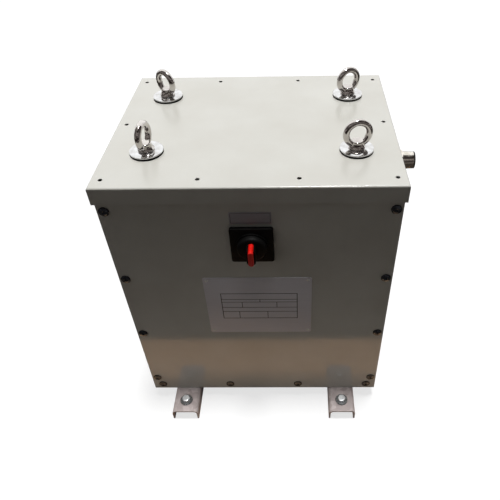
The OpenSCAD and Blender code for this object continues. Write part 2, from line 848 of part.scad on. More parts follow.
module gland_locknut() color([0.66, 0.62, 0.52]) at_gland()
    translate([0, 0, -sheet - locknut_t]) nut(gland_af, locknut_t, gland_thread_d);

// Transformer

module core() color([0.35, 0.34, 0.33]) at_core() difference() {
    translate([0, clamp_y, foot_z]) rotate([90, 0, 0]) linear_extrude(stack_d) difference() {
        translate([-core_w / 2, 0]) square([core_w, core_h]);
        for (s = [-1, 1]) translate([s * limb_pitch / 2 - window_w / 2, limb_w])
            square([window_w, window_h]);
    }
    at_clamp_bolts() drill(clamp_bolt_d + 2 * (tube_t + thread_gap), stack_d);
}

// The bolt lines through both yokes, each along +z here from the back of the stack.
module at_clamp_bolts() {
    for (x = limb_places, z = [foot_z + limb_w / 2, core_top - limb_w / 2])
        translate([x, clamp_y, z]) to_front() children();
}

// Clamp angle with its upright leg on the front of a yoke and its flange at the bottom.
module clamp_angle() {
    difference() {
        translate([-clamp_len / 2, -clamp_y, foot_z]) rotate([90, 0, 90]) linear_extrude(clamp_len)
            mirror([1, 0]) mirror([0, 1]) angle_iron(clamp_flange_w, limb_w, clamp_t, clamp_bend);
        for (s = eye_signs) translate([s[0] * eye_x, s[1] * eye_y, foot_z])
            drill(post_hole_d, clamp_t);
        for (x = limb_places) translate([x, -clamp_y, foot_z + limb_w / 2])
            to_front() drill(clamp_bolt_d + 2 * hole_gap, clamp_t);
    }
}

module lower_clamps() color([0.45, 0.45, 0.47]) at_core() {
    clamp_angle();
    to_rear() clamp_angle();
}

// The same angle turned over, with holes that let the whole lifting post pass.
module upper_clamps() color([0.45, 0.45, 0.47]) at_core() for (turn = [0, 180])
    rotate([0, 0, turn]) difference() {
        translate([0, 0, foot_z + core_top]) mirror([0, 0, 1]) clamp_angle();
        for (s = eye_signs) translate([s[0] * eye_x, s[1] * eye_y, core_top - clamp_t])
            drill(post_d + 2 * hole_gap, clamp_t);
    }

module clamp_tubes() color([0.5, 0.35, 0.2]) at_core() at_clamp_bolts()
    washer(clamp_bolt_d + 2 * tube_t, clamp_bolt_d, stack_d);

module clamp_bolts() color([0.7, 0.7, 0.72]) at_core() at_clamp_bolts() {
    reach = clamp_t + clamp_head_h + post_stud_end;
    translate([0, 0, stack_d + clamp_t]) hexagon(clamp_head_af, clamp_head_h);
    translate([0, 0, -reach]) cylinder(d = clamp_bolt_d, h = reach + stack_d + clamp_t);
}

module clamp_nuts() color([0.7, 0.7, 0.72]) at_core() at_clamp_bolts()
    translate([0, 0, -clamp_t - clamp_head_h]) nut(clamp_head_af, clamp_head_h, clamp_bolt_d);

// A coil layer round each limb: inside and outside are distances from the bobbin's bore.
module coil_ring(from, to, h) {
    linear_extrude(h) difference() {
        rounded(coil_w + 2 * to, coil_d + 2 * to, coil_corner + to);
        rounded(coil_w + 2 * from, coil_d + 2 * from, coil_corner + from);
    }
}

module at_limbs(z) {
    for (x = limb_places) translate([x, 0, z]) children();
}

module bobbins() color([0.85, 0.78, 0.6]) at_core() {
    at_limbs(window_z) coil_ring(0, bobbin_t, window_h);
    for (z = [window_z, window_z + window_h - bobbin_flange_t])
        at_limbs(z) coil_ring(bobbin_t, outer_out + bobbin_edge, bobbin_flange_t);
}

module inner_windings() color([0.72, 0.45, 0.25])
    at_core() at_limbs(coil_z) coil_ring(bobbin_t, inner_out, coil_h);

module outer_windings() color([0.7, 0.5, 0.3])
    at_core() at_limbs(coil_z) coil_ring(outer_in, outer_out, coil_h);

// Steel posts from the floor rails, through base and clamps, up to the eyebolts

module lifting_posts() color([0.6, 0.6, 0.62]) at_eyes() difference() {
    seat = foot_z + clamp_t;
    stud_z = rail_h - rail_t - post_washer_t - post_nut_h - post_stud_end;
    union() {
        translate([0, 0, seat]) cylinder(d = post_d, h = post_top - seat);
        translate([0, 0, stud_z]) cylinder(d = post_stud_d, h = seat - stud_z + cut);
    }
    translate([0, 0, post_top - post_tap]) cylinder(d = shank_hole_d, h = post_tap + cut);
}

module post_washers() color([0.7, 0.7, 0.72]) at_eyes()
    translate([0, 0, rail_h - rail_t - post_washer_t]) washer(post_washer_d, post_stud_d, post_washer_t);

module post_nuts() color([0.7, 0.7, 0.72]) at_eyes()
    translate([0, 0, rail_h - rail_t - post_washer_t - post_nut_h])
        nut(post_nut_af, post_nut_h, post_stud_d);

module dampers() color([0.12, 0.12, 0.12]) at_eyes() difference() {
    translate([0, 0, floor_z]) linear_extrude(damper_t) rounded(damper_w, damper_d, bend_out);
    translate([0, 0, floor_z]) drill(post_hole_d, damper_t);
}

// Terminals and leads

module terminal_rail() color([0.7, 0.7, 0.72]) at_core() {
    len = 2 * (group_pitch + group_end);
    translate([-len / 2, terminal_y, core_top]) rotate([90, 0, 90]) linear_extrude(len) {
        translate([0, din_h]) channel(din_hat_w, din_h, din_t, 2 * din_t);
        for (s = [-1, 1]) translate([s * (din_w + din_hat_w - 2 * din_t) / 4, din_t / 2])
            square([(din_w - din_hat_w + 2 * din_t) / 2, din_t], center = true);
    }
}

function terminal_x(coil, i) = coil + (i - (terminal_count - 1) / 2) * (terminal_w + terminal_gap);

module lead_entry(x, z) {
    translate([x, terminal_face + entry_deep, terminal_z + z])
        to_front() cylinder(d = lead_d + hole_gap, h = entry_deep + cut);
}

module terminals() color([0.62, 0.62, 0.6]) at_core()
    for (coil = group_places, i = [0:terminal_count - 1]) difference() {
        x = terminal_x(coil, i);
        translate([x, terminal_y, terminal_z + terminal_h]) rotate([90, 0, 90])
            linear_extrude(terminal_w, center = true) arch(terminal_d, terminal_h, terminal_w / 2);
        lead_entry(x, entry_low);
        lead_entry(x, entry_high);
        for (s = [-1, 1])
            translate([x, terminal_y + s * terminal_d / 4, terminal_z + terminal_h - entry_deep])
                cylinder(d = lead_d, h = entry_deep + cut);
    }

module end_stops() color([0.75, 0.75, 0.72]) at_core() for (coil = group_places, s = [-1, 1])
    translate([
        coil + s * (terminal_count * (terminal_w + terminal_gap) + end_stop_w) / 2, terminal_y,
        terminal_z + terminal_h * 2 / 3
    ]) rotate([90, 0, 90]) linear_extrude(end_stop_w, center = true)
        arch(terminal_d * 3 / 4, terminal_h * 2 / 3, end_stop_w);

// Lead of straight runs along +z joined by square bends; turns are the headings of the bends.
module lead(runs, turns, i = 0) {
    cylinder(d = lead_d, h = runs[i]);
    if (i < len(turns)) translate([0, 0, runs[i]]) rotate([0, 0, turns[i]]) {
        translate([lead_bend, 0, 0]) rotate([90, 0, 180])
            rotate_extrude(angle = 90) translate([lead_bend, 0]) circle(d = lead_d);
        translate([lead_bend, 0, lead_bend]) rotate([0, 90, 0]) lead(runs, turns, i + 1);
    }
}

// From the face of each outer winding, up past the clamp and back into the lower entries.
module winding_leads() color([0.15, 0.15, 0.16]) at_core() {
    out = coil_face - lead_y - lead_bend;
    rise = terminal_z + entry_low - lead_rise_from - 2 * lead_bend;
    back = terminal_face + lead_in - lead_y - lead_bend;
    for (coil = group_places, i = [0, terminal_count - 1])
        translate([terminal_x(coil, i), coil_face, lead_rise_from])
            rotate([90, 0, 0]) lead([out, rise, back], [90, 180]);
}

// From a clamp screw under each deck of the switch to one upper entry at each coil.
module switch_leads() color([0.5, 0.2, 0.12]) for (i = [0:deck_count - 1]) {
    start_x = wire_sides[i] * contact_x;
    start_y = panel_back + mount_block_t + deck_t * (i + 1 / 2);
    side = terminal_x(group_places[i], terminal_count / 2) - start_x;
    back = core_back + terminal_face + lead_in - start_y - lead_bend;
    translate([start_x, start_y, wire_top]) rotate([180, 0, 0])
        lead(
            [lead_drop, abs(side) - 2 * lead_bend, back],
            [side > 0 ? 0 : 180, side > 0 ? -90 : 90]
        );
}

// Welded stud in a front corner of the base, with two nuts for the protective conductor.
module earth_stud() color([0.75, 0.7, 0.45]) translate([stud_base_x, -stud_base_y, body_z]) {
    cylinder(d = earth_d, h = earth_len);
    for (z = [heavy_sheet, heavy_sheet + earth_nut_z]) translate([0, 0, z]) hexagon(nut_af, nut_h);
}

// The whole part is set so that its overall box is centred on the origin: the gland sticks
// out on the right, so the enclosure stands a little to the left.
module centred() {
    translate([-(wall_x + gland_reach - lid_w / 2) / 2, 0, 0]) children();
}

centred() lid();
centred() lid_gasket();
centred() eye_discs();
centred() eye_seals();
centred() eyebolt_front_left();
centred() eyebolt_front_right();
centred() eyebolt_back_left();
centred() eyebolt_back_right();
centred() base_tray();
centred() side_wall_left();
centred() side_wall_right();
centred() front_panel();
centred() rear_panel();
centred() top_frame();
centred() lid_nuts();
centred() front_panel_screws();
centred() rear_panel_screws();
centred() panel_nuts();
centred() rail_left();
centred() rail_right();
centred() rail_bolts();
centred() rail_washers();
centred() rail_nuts();
centred() switch_plate();
centred() switch_body();
centred() switch_contacts();
centred() switch_handle();
centred() switch_crest();
centred() switch_shaft();
centred() label_plate();
centred() rating_plate();
centred() plate_rivets();
centred() gland_washer();
centred() gland_body();
centred() gland_insert();
centred() gland_nut();
centred() gland_locknut();
centred() core();
centred() lower_clamps();
centred() upper_clamps();
centred() clamp_tubes();
centred() clamp_bolts();
centred() clamp_nuts();
centred() bobbins();
centred() inner_windings();
centred() outer_windings();
centred() lifting_posts();
centred() post_washers();
centred() post_nuts();
centred() dampers();
centred() terminal_rail();
centred() terminals();
centred() end_stops();
centred() winding_leads();
centred() switch_leads();
centred() earth_stud();
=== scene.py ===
import math

import bmesh
import bpy
from mathutils import Matrix, Vector


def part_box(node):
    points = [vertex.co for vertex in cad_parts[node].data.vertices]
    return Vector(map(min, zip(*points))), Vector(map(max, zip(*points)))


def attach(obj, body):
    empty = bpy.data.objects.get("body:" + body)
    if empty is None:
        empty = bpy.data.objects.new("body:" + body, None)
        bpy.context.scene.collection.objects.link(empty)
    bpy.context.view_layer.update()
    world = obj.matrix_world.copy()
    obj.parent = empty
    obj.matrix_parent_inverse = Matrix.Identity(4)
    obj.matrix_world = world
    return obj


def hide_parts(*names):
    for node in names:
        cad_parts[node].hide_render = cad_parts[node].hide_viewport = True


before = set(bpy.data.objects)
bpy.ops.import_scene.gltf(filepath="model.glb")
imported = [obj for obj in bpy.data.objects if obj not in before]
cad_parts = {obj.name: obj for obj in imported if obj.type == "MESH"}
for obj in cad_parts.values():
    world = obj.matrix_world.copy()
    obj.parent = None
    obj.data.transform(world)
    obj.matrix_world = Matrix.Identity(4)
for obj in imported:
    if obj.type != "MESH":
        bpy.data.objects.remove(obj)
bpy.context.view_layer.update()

# Camera: it stands in front of the box, a little to the right of its middle, and looks down on
# the lid. Its place, its angles and its focal length were solved from the corners of the lid, the
# walls and the plates.
MM = 0.001
PICTURE = 500
FOCAL_PIXELS = 516.4
AXIS_COLUMN = 287.3
CAMERA_RIGHT, CAMERA_FRONT, CAMERA_HEIGHT = 66.9, 753.1, 923.5
CAMERA_PITCH, CAMERA_ROLL, CAMERA_YAW = 42.317, -1.37, 1.44
SENSOR = 36.0

lid_low, lid_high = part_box("lid")
middle_x = (lid_low.x + lid_high.x) / 2

camera_data = bpy.data.cameras.new("camera")
camera_data.sensor_width = SENSOR
camera_data.lens = SENSOR * FOCAL_PIXELS / PICTURE
camera_data.shift_x = (PICTURE / 2 - AXIS_COLUMN) / PICTURE
camera = bpy.data.objects.new("camera", camera_data)
camera.matrix_world = (
    Matrix.Translation((middle_x + CAMERA_RIGHT * MM, -CAMERA_FRONT * MM, CAMERA_HEIGHT * MM))
    @ Matrix.Rotation(math.radians(CAMERA_YAW), 4, "Z")
    @ Matrix.Rotation(math.radians(90 - CAMERA_PITCH), 4, "X")
    @ Matrix.Rotation(math.radians(CAMERA_ROLL), 4, "Z")
)
bpy.context.scene.collection.objects.link(camera)
bpy.context.scene.camera = camera
bpy.context.scene.view_settings.view_transform = "Standard"

# Studio: a ceiling light, weak lamps behind and beside the box, and a room and floor that look
# white but throw little light, so the front stays in shade. A banded hood over the camera's side,
# a dark mat and a warm board in it, with painted shade near the walls, show in reflections alone.
CEILING_POWER = 2.92
CEILING_ANGLE = 9
CEILING_TILT_BACK, CEILING_TILT_RIGHT = 2.1, 3
WINDOW_ANGLE = 80
WINDOWS = {"back": (0.3, 58, 0), "left": (0.5, 0, -58), "right": (0.12, 0, 58)}
ROOM_GLOW = (0.014, 0.014, 0.014)
FLOOR_SHADED, FLOOR_SHINE = (0.32, 0.32, 0.32), (0.72, 0.72, 0.72)
FLOOR_BOUNCE_NEAR, FLOOR_BOUNCE_FAR = (0.285, 0.25, 0.222), (0.02, 0.018, 0.016)
BOUNCE_NEAR, BOUNCE_FAR = 0.45, 0.95
FLOOR_SIZE = 40
HOOD_DARK, HOOD_LIGHT = (0.022, 0.016, 0.015), (0.36, 0.33, 0.32)
HOOD_BANDS, HOOD_STRETCH = 2.6, 0.12
HOOD_DARK_TO, HOOD_LIGHT_FROM = 0.49, 0.6
HOOD_OUTLINE = ((2.6, 0), (2.6, 1.6), (2.2, 2.4), (1.5, 3.0), (0.8, 3.2))
HOOD_OPENING = 65
HOOD_STEPS = 48
SHARP_ANGLE = 25
MAT_COLOUR = (0.05, 0.042, 0.036)
MAT_HEIGHT = 0.002
MAT_REACH = 12
BOARD_MARGIN = 0.135
# Near the box's walls the board takes a painted shade, which fades out over its reach.
BOARD_COLOUR, BOARD_PAINTED_SHADE = (0.9, 0.54, 0.29), (0.15, 0.1, 0.065)
BOARD_PAINTED_SHADE_REACH = 0.06


def add(tree, kind, inputs=None, **settings):
    """Adds a shader node. An input takes a value, or the output of another node."""
    made = tree.nodes.new("ShaderNode" + kind)
    for name, value in settings.items():
        setattr(made, name, value)
    for name, value in (inputs or {}).items():
        if isinstance(value, bpy.types.NodeSocket):
            tree.links.new(value, made.inputs[name])
        else:
            made.inputs[name].default_value = value
    return made


def seen_directly(tree):
    """1 on rays from the camera, or from metal or glass, and 0 on rays that gather light."""
    rays = add(tree, "LightPath")
    seen = rays.outputs["Is Camera Ray"]
    for name in ("Is Glossy Ray", "Is Transmission Ray"):
        seen = add(tree, "Math", {0: seen, 1: rays.outputs[name]}, operation="MAXIMUM").outputs[0]
    return seen


def mixed(tree, share, low, high):
    """Colour between low and high by a share that a node gives."""
    mix = add(tree, "Mix", data_type="RGBA")
    for name, value in (("Factor_Float", share), ("A_Color", low), ("B_Color", high)):
        socket = next(s for s in mix.inputs if s.identifier == name)
        if isinstance(value, bpy.types.NodeSocket):
            tree.links.new(value, socket)
        else:
            socket.default_value = value if name == "Factor_Float" else (*value[:3], 1)
    return next(s for s in mix.outputs if s.identifier == "Result_Color")


def mesh_piece(name, shape, material):
    """Turns a shape into an object with that material, smooth where its faces meet gently."""
    mesh = bpy.data.meshes.new(name)
    shape.to_mesh(mesh)
    shape.free()
    mesh.shade_smooth()
    mesh.set_sharp_from_angle(angle=math.radians(SHARP_ANGLE))
    mesh.materials.append(material)
    piece = bpy.data.objects.new(name, mesh)
    bpy.context.scene.collection.objects.link(piece)
    return piece


def blank(name):
    """A new material with nothing in it yet, and its nodes."""
    made = bpy.data.materials.new(name)
    made.use_nodes = True
    made.node_tree.nodes.clear()
    return made, made.node_tree


def show(tree, shader):
    """Makes a shader the surface of its material."""
    add(tree, "OutputMaterial", {"Surface": shader.outputs[0]})


def of_kind(elements, kind=bmesh.types.BMVert):
    """Those of one kind in what an operator gives back."""
    return [element for element in elements if isinstance(element, kind)]


def sun(name, power, angle, tilt_back, tilt_right):
    """Soft distant lamp, tilted from straight overhead to shine from the back or the right."""
    data = bpy.data.lights.new(name, "SUN")
    data.energy = power
    data.angle = math.radians(angle)
    lamp = bpy.data.objects.new(name, data)
    lamp.rotation_euler = (-math.radians(tilt_back), math.radians(tilt_right), 0)
    bpy.context.scene.collection.objects.link(lamp)


sun("ceiling_light", CEILING_POWER, CEILING_ANGLE, CEILING_TILT_BACK, CEILING_TILT_RIGHT)
for side, (power, tilt_back, tilt_right) in WINDOWS.items():
    sun(side + "_light", power, WINDOW_ANGLE, tilt_back, tilt_right)

room = bpy.data.worlds.new("room")
bpy.context.scene.world = room
room.use_nodes = True
room.node_tree.nodes.clear()
glow = mixed(room.node_tree, seen_directly(room.node_tree), ROOM_GLOW, (1, 1, 1))
background = add(room.node_tree, "Background", {"Color": glow})
add(room.node_tree, "OutputWorld", {"Surface": background.outputs[0]})

shape = bmesh.new()
bmesh.ops.create_grid(shape, x_segments=1, y_segments=1, size=FLOOR_SIZE / 2)
floor_paint, tree = blank("floor")
seen = seen_directly(tree)
away = add(tree, "VectorMath", {0: add(tree, "TexCoord").outputs["Object"]}, operation="LENGTH")
far = add(tree, "MapRange", {
    "Value": away.outputs["Value"], "From Min": BOUNCE_NEAR, "From Max": BOUNCE_FAR,
}).outputs["Result"]
bounce = mixed(tree, far, FLOOR_BOUNCE_NEAR, FLOOR_BOUNCE_FAR)
shaded = add(tree, "BsdfDiffuse", {"Color": mixed(tree, seen, bounce, FLOOR_SHADED)})
shine = add(tree, "Emission", {"Color": mixed(tree, seen, (0, 0, 0), FLOOR_SHINE)})
show(tree, add(tree, "AddShader", {0: shaded.outputs[0], 1: shine.outputs[0]}))
floor = mesh_piece("floor", shape, floor_paint)

shape = bmesh.new()
start = math.radians(90 + HOOD_OPENING)
outline = [
    shape.verts.new((r * math.cos(start), r * math.sin(start), z)) for r, z in HOOD_OUTLINE
]
edges = [shape.edges.new(pair) for pair in zip(outline, outline[1:])]
bmesh.ops.spin(
    shape, geom=outline + edges, axis=(0, 0, 1), cent=(0, 0, 0),
    angle=math.radians(360 - 2 * HOOD_OPENING), steps=HOOD_STEPS,
)
hood_cloth, tree = blank("hood")
place = add(tree, "TexCoord").outputs["Object"]
level = add(tree, "Mapping", {"Vector": place, "Scale": (HOOD_STRETCH, HOOD_STRETCH, 1)})
bands = add(tree, "TexNoise", {"Vector": level.outputs[0], "Scale": HOOD_BANDS, "Detail": 2.0})
bands = add(tree, "MapRange", {
    "Value": bands.outputs["Fac"], "From Min": HOOD_DARK_TO, "From Max": HOOD_LIGHT_FROM,
})
glow = mixed(tree, bands.outputs["Result"], HOOD_DARK, HOOD_LIGHT)
show(tree, add(tree, "Emission", {"Color": glow}))
hood = mesh_piece("hood", shape, hood_cloth)

shape = bmesh.new()
bmesh.ops.create_grid(shape, x_segments=1, y_segments=1, size=1)
board_half = (lid_high - lid_low) / 2 + Vector((BOARD_MARGIN, BOARD_MARGIN, 0))
bmesh.ops.scale(shape, vec=(board_half.x, board_half.y, 1), verts=shape.verts)
bmesh.ops.translate(shape, vec=(middle_x, 0, MAT_HEIGHT), verts=shape.verts)
board_paint, tree = blank("board")
place = add(tree, "TexCoord").outputs["Object"]
place = add(tree, "Mapping", {"Vector": place, "Location": (-middle_x, 0, 0)}).outputs[0]
place = add(tree, "VectorMath", {0: place}, operation="ABSOLUTE").outputs[0]
beyond = add(tree, "VectorMath", {0: place, 1: (lid_high - lid_low) / 2}, operation="SUBTRACT")
beyond = add(tree, "SeparateXYZ", {"Vector": beyond.outputs[0]}).outputs
beyond = add(tree, "Math", {0: beyond["X"], 1: beyond["Y"]}, operation="MAXIMUM").outputs[0]
# The board's colour runs from a painted shade at the box's walls to its own colour further out.
painted_shade_fade = add(tree, "MapRange", {"Value": beyond, "From Min": 0, "From Max": BOARD_PAINTED_SHADE_REACH})
painted_shade_fade = mixed(tree, painted_shade_fade.outputs["Result"], BOARD_PAINTED_SHADE, BOARD_COLOUR)
show(tree, add(tree, "BsdfDiffuse", {"Color": painted_shade_fade}))
board = mesh_piece("board", shape, board_paint)

shape = bmesh.new()
bmesh.ops.create_grid(shape, x_segments=1, y_segments=1, size=1)
gap = shape.faces[:]
bmesh.ops.scale(shape, vec=(board_half.x, board_half.y, 1), verts=shape.verts)
rim = bmesh.ops.extrude_edge_only(shape, edges=shape.edges[:])["geom"]
bmesh.ops.scale(shape, vec=(MAT_REACH, MAT_REACH, 1), verts=of_kind(rim))
bmesh.ops.delete(shape, geom=gap, context="FACES_ONLY")
bmesh.ops.translate(shape, vec=(middle_x, 0, MAT_HEIGHT), verts=shape.verts)
mat_cloth, tree = blank("mat")
show(tree, add(tree, "BsdfDiffuse", {"Color": (*MAT_COLOUR, 1)}))
mat = mesh_piece("mat", shape, mat_cloth)
for screen in (hood, board, mat):
    for kind in ("camera", "diffuse", "shadow", "transmission", "volume_scatter"):
        setattr(screen, "visible_" + kind, False)

# Enclosure: the base tray, the walls, the panels, the top frame and the lid are folded sheet steel
# in one light warm grey powder coat with a fine orange peel. It is glossy enough to mirror the
# rails, and a little duller with dust on the lid.
PAINT_DARK, PAINT_LIGHT = (204, 202, 194), (210, 209, 202)
PAINT_IOR = 1.6


def tone(red, green, blue):
    """Linear colour of a shade given as it looks on a screen, from 0 to 255."""
    return tuple(
        c / 12.92 if c <= 0.04045 else ((c + 0.055) / 1.055) ** 2.4
        for c in (red / 255, green / 255, blue / 255)
    )


def spread(tree, value, low, high, from_low=0.3, from_high=0.7):
    """Stretches a pattern's value to run from low to high."""
    ranged = add(tree, "MapRange", {
        "Value": value, "From Min": from_low, "From Max": from_high, "To Min": low, "To Max": high,
    })
    return ranged.outputs["Result"]


def start_finish(name, **values):
    """A new material with its shader, and the place of each point on the object."""
    made, tree = blank(name)
    shader = add(tree, "BsdfPrincipled", {k.replace("_", " "): v for k, v in values.items()})
    show(tree, shader)
    place = add(tree, "TexCoord").outputs["Object"]
    return made, tree, shader, place


def noise(tree, place, scale, detail, stretch=(1, 1, 1)):
    """Cloudy pattern with that many cells a metre, drawn out along an axis by a small stretch."""
    where = add(tree, "Mapping", {"Vector": place, "Scale": stretch}).outputs[0]
    pattern = add(tree, "TexNoise", {"Vector": where, "Scale": scale, "Detail": detail})
    return pattern.outputs["Fac"]


def bump(tree, shader, height, depth):
    """Gives a shader the relief of a pattern, depth metres from its lowest to its highest."""
    relief = add(tree, "Bump", {"Height": height, "Distance": depth, "Strength": 1.0})
    tree.links.new(relief.outputs[0], shader.inputs["Normal"])


def set_colour(tree, shader, share, low, high):
    """Gives a shader the colours between two shades, as a pattern has it."""
    tree.links.new(mixed(tree, share, tone(*low), tone(*high)), shader.inputs["Base Color"])


def set_roughness(tree, shader, value):
    """Gives a shader the roughness that a pattern has."""
    tree.links.new(value, shader.inputs["Roughness"])


def dress(material, *names):
    """Gives CAD nodes their finish."""
    for name in names:
        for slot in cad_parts[name].material_slots:
            slot.material = material


def mottled(name, dark, light, clouds, rough, wear, grain=None, relief=0, **values):
    """Finish with a colour that drifts in clouds, a gloss worn in patches, and a grain.

    Each of the three patterns is given by its cells a metre and its detail, the roughness by its
    lowest and highest, and the relief of the grain in millimetres.
    """
    made, tree, shader, place = start_finish(name, **values)
    set_colour(tree, shader, spread(tree, noise(tree, place, *clouds), 0, 1), dark, light)
    set_roughness(tree, shader, spread(tree, noise(tree, place, *wear), *rough))
    if grain:
        bump(tree, shader, noise(tree, place, *grain), relief * MM)
    return made


for name, rough, nodes in (
    ("cabinet_paint", (0.05, 0.1), (
        "base_tray", "side_wall_left", "side_wall_right", "front_panel", "rear_panel", "top_frame",
    )),
    ("lid_paint", (0.17, 0.26), ("lid",)),
):
    coat = mottled(
        name, PAINT_DARK, PAINT_LIGHT, clouds=(14, 4), rough=rough, wear=(40, 3), grain=(700, 1),
        relief=0.035, IOR=PAINT_IOR,
    )
    dress(coat, *nodes)

# Floor rails: two channels bent from steel sheet, hot-dip galvanised, with the open side down. The
# zinc has its flowery crystals and a dull pinkish grey cast.
ZINC_CRYSTALS = 110
ZINC_DARK, ZINC_LIGHT = (172, 160, 158), (200, 189, 187)
ZINC_ROUGHNESS = (0.36, 0.52)
ZINC_GRAIN, ZINC_RELIEF = (420, 3), 0.08

galvanised, tree, shader, place = start_finish("galvanised_steel", Specular_IOR_Level=0.15)
crystals = add(tree, "TexVoronoi", {"Vector": place, "Scale": ZINC_CRYSTALS}).outputs["Color"]
flower = add(tree, "SeparateColor", {"Color": crystals}).outputs[0]
set_colour(tree, shader, flower, ZINC_DARK, ZINC_LIGHT)
set_roughness(tree, shader, spread(tree, flower, *ZINC_ROUGHNESS, 0, 1))
bump(tree, shader, noise(tree, place, *ZINC_GRAIN), ZINC_RELIEF * MM)
dress(galvanised, "rail_left", "rail_right")

# Fasteners: hexagon bolts and nuts of bright zinc-plated steel, on washers of the same zinc in a
# darker copy, a painted shade, that mirror the dark front, and flanged socket screws of stainless
# steel in a darker colour, also a painted shade, that hold the panels, each on a black sealing
# washer. They are drawn in millimetres, downwards from their outer end.
TURN_STEPS = 36
TOUCHING = 0.001
THREAD_DEEP, THREAD_GAP = 0.6, 0.1
# Shares of half the width across the flats: the corner before it is cut, and the flat ends.
HEX_CORNER, HEX_FACE, HEX_RIM, HEX_TOP, NUT_FACE = 1.18, 0.95, 0.93, 0.8, 0.96
HEAD_FACE_TALL, HEAD_CHAMFER, HEAD_BLUNT = 0.4, 0.85, 0.05
NUT_SLOPE, NUT_SINK = 0.055, 0.5
WASHER_BLUNT = 0.2
RAIL_BOLT = {"across": 13, "head": 6.5, "diameter": 8, "pitch": 1.25}
CLAMP_BOLT = {"across": 13, "head": 5.5, "diameter": 8, "pitch": 1.25}
NUT_THREADS = {"rail_nuts": 8, "lid_nuts": 6, "panel_nuts": 6, "clamp_nuts": 8, "post_nuts": 12}
WASHER_HOLES = {"rail_washers": 8.4, "post_washers": 12.5}
SCREW_THREAD, SCREW_PITCH, SCREW_END, SCREW_NECK = 6, 1, -17.4, -4.4
SCREW_HEAD = (
    (3, -4.4), (3, -1.9), (7, -1.9), (7.25, -1.6), (7.1, -1.35), (6.2, -1.15), (5.7, -1.0),
    (5.3, -0.72), (4.6, -0.35), (3.6, -0.08), (2.65, 0),
)
SOCKET_ACROSS, SOCKET_CHAMFER, SOCKET_DEEP = 4, 0.3, 1.8
SEAL_RING = ((3.1, -3.4), (7.55, -3.4), (7.75, -3.2), (7.75, -2.1), (7.5, -1.9), (3.1, -1.9))
UP = Matrix.Identity(4)
TO_FRONT = Matrix.Rotation(math.radians(90), 4, "X")
TO_REAR = Matrix.Rotation(math.radians(180), 4, "Z") @ TO_FRONT
TO_RIGHT = Matrix.Rotation(math.radians(90), 4, "Y")


def spun(shape, outline, steps, close=False):
    """Turns an outline of (radius, height) points round the Z axis."""
    points = [shape.verts.new((radius, 0, height)) for radius, height in outline]
    edges = [shape.edges.new(pair) for pair in zip(points, points[1:])]
    if close:
        edges.append(shape.edges.new((points[-1], points[0])))
    bmesh.ops.spin(
        shape, geom=points + edges, axis=(0, 0, 1), cent=(0, 0, 0), angle=math.tau, steps=steps,
        use_merge=True,
    )
    bmesh.ops.remove_doubles(shape, verts=shape.verts, dist=TOUCHING)
    bmesh.ops.recalc_face_normals(shape, faces=shape.faces)


def cut_off(shape, point, out):
    """Cuts off what lies beyond a plane, and closes the cut."""
    cut = bmesh.ops.bisect_plane(
        shape, geom=shape.verts[:] + shape.edges[:] + shape.faces[:], dist=TOUCHING / 10,
        plane_co=point, plane_no=out, clear_outer=True,
    )["geom_cut"]
    bmesh.ops.edgeloop_fill(shape, edges=of_kind(cut, bmesh.types.BMEdge))


def hexed(shape, across, turn=30):
    """Cuts a turned shape to a hexagon that wide across its flats, turned by some degrees."""
    for side in range(6):
        out = Matrix.Rotation(math.radians(turn + 60 * side), 3, "Z") @ Vector((1, 0, 0))
        cut_off(shape, out * across / 2, out)


def thread(diameter, pitch, bottom, top):
    """Outline of a thread from its cut end up to its top, crest by crest."""
    root = diameter / 2 - THREAD_DEEP * pitch
    outline = [(0, bottom), (root, bottom)]
    for crest in range(int((top - bottom) / pitch)):
        foot = bottom + crest * pitch
        outline += [(diameter / 2, foot + pitch / 2), (root, foot + pitch)]
    return outline


def bolt(across, head, diameter, pitch, length):
    """Hexagon bolt with a chamfered head on a round washer face."""
    shape = bmesh.new()
    flat, shank = across / 2, diameter / 2
    corner, face, rim = flat * HEX_CORNER, flat * HEX_FACE, flat * HEX_RIM
    spun(shape, [
        *thread(diameter, pitch, -length, -head - pitch), (shank, -head - pitch), (shank, -head),
        (face, -head), (face, -head + HEAD_FACE_TALL), (corner, -head + HEAD_FACE_TALL),
        (corner, -HEAD_CHAMFER), (rim, -HEAD_BLUNT), (flat * HEX_TOP, 0), (0, 0),
    ], TURN_STEPS)
    hexed(shape, across)
    return shape


def nut(across, height, diameter):
    """Hexagon nut, chamfered at both ends."""
    shape = bmesh.new()
    corner, face, slope = across / 2 * HEX_CORNER, across / 2 * NUT_FACE, across * NUT_SLOPE
    bore = diameter / 2 + THREAD_GAP
    mouth = bore + NUT_SINK
    spun(shape, [
        (mouth, 0), (face, 0), (corner, -slope), (corner, slope - height), (face, -height),
        (mouth, -height), (bore, NUT_SINK - height), (bore, -NUT_SINK),
    ], TURN_STEPS, close=True)
    hexed(shape, across)
    return shape


def washer(diameter, hole, thickness):
    """Flat washer with blunted edges."""
    shape = bmesh.new()
    outer, inner, blunt = diameter / 2, hole / 2, thickness * WASHER_BLUNT
    spun(shape, [
        (inner, -blunt), (inner + blunt, 0), (outer - blunt, 0), (outer, -blunt),
        (outer, blunt - thickness), (outer - blunt, -thickness), (inner, -thickness),
    ], TURN_STEPS, close=True)
    return shape


